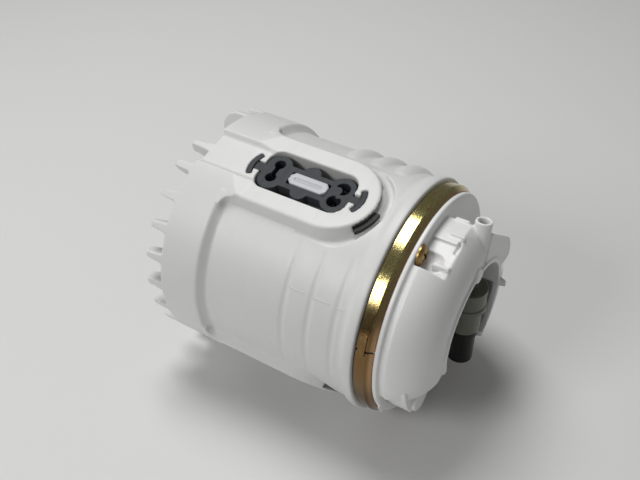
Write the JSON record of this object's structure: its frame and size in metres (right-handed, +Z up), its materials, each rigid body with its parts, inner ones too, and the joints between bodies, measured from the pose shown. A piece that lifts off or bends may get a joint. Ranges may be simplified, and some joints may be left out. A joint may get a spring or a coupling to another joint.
{
  "type": "fuel pump",
  "caption": "In-tank fuel pump in a white ribbed reservoir pot with toothed rim, rubber damper windows, clamp band and a domed cut-open end cover with hose socket.",
  "frame": {"origin": "on the pot's axis, in the plane where the clamp band meets the pot's lip", "axes": "+X along the pot's axis from the toothed end to the domed cover, +Z up as the pump lies on its side"},
  "size_m": [0.1215, 0.0961, 0.0959],
  "materials": {
    "white_acetal": "satin",
    "cover_acetal": "satin",
    "carrier_acetal": "satin",
    "slate_rubber": "matte",
    "black_rubber": "matte",
    "plated_band": "yellow passivated, glossy",
    "zinc_screw": "satin",
    "olive_plastic": "satin",
    "black_plastic": "satin",
    "plated_can": "satin",
    "ferrite": "matte",
    "bronze": "matte",
    "carbon": "matte",
    "spring_steel": "bright",
    "tinned_brass": "bright",
    "shaft_steel": "ground",
    "copper": "bright",
    "lamination": "matte",
    "phenolic": "matte"
  },
  "bodies": {
    "pump": {"reservoir_housing": "white_acetal", "damper_pad_1": "slate_rubber", "damper_pad_2": "slate_rubber", "damper_pad_3": "slate_rubber", "pump_carrier": "carrier_acetal", "clamp_band": "plated_band", "end_cover": "cover_acetal", "cover_seal": "black_rubber", "cover_screw_1": "zinc_screw", "cover_screw_2": "zinc_screw", "jet_pump_body": "olive_plastic", "jet_sleeve": "black_plastic", "motor_can": "plated_can", "magnet_1": "ferrite", "magnet_2": "ferrite", "outlet_cap": "black_plastic", "outlet_end_bush": "bronze", "inlet_end_bush": "bronze", "brush_1": "carbon", "brush_2": "carbon", "brush_spring_1": "spring_steel", "brush_spring_2": "spring_steel", "terminal_1": "tinned_brass", "terminal_2": "tinned_brass", "pump_plate": "phenolic", "inlet_plate": "black_plastic", "check_spring": "spring_steel", "outlet_guide": "shaft_steel", "relief_spring": "spring_steel", "relief_guide": "shaft_steel", "can_ring_upper": "black_rubber", "can_ring_lower": "black_rubber", "inlet_strainer": "carrier_acetal", "foot_valve": "black_rubber"},
    "rotor": {"motor_shaft": "shaft_steel", "commutator": "copper", "armature_core": "lamination", "armature_winding": "copper", "impeller": "phenolic"},
    "check_poppet": {"check_valve": "olive_plastic"},
    "relief_piston": {"relief_valve": "shaft_steel"}
  },
  "joints": [
    {"name": "rotor_spin", "type": "hinge", "parent": "pump", "child": "rotor", "pos_m": [-0.045, 0, -0.004], "axis": [1, 0, 0], "continuous": true},
    {"name": "check_valve_slide", "type": "slide", "parent": "pump", "child": "check_poppet", "axis": [-1, 0, 0], "range_m": [0, 0.0015], "stiffness_N_per_m": 120, "springref_m": -0.001, "deforming": ["check_spring"]},
    {"name": "relief_valve_slide", "type": "slide", "parent": "pump", "child": "relief_piston", "axis": [-1, 0, 0], "range_m": [0, 0.001], "stiffness_N_per_m": 400, "springref_m": -0.002, "deforming": ["relief_spring"]}
  ]
}
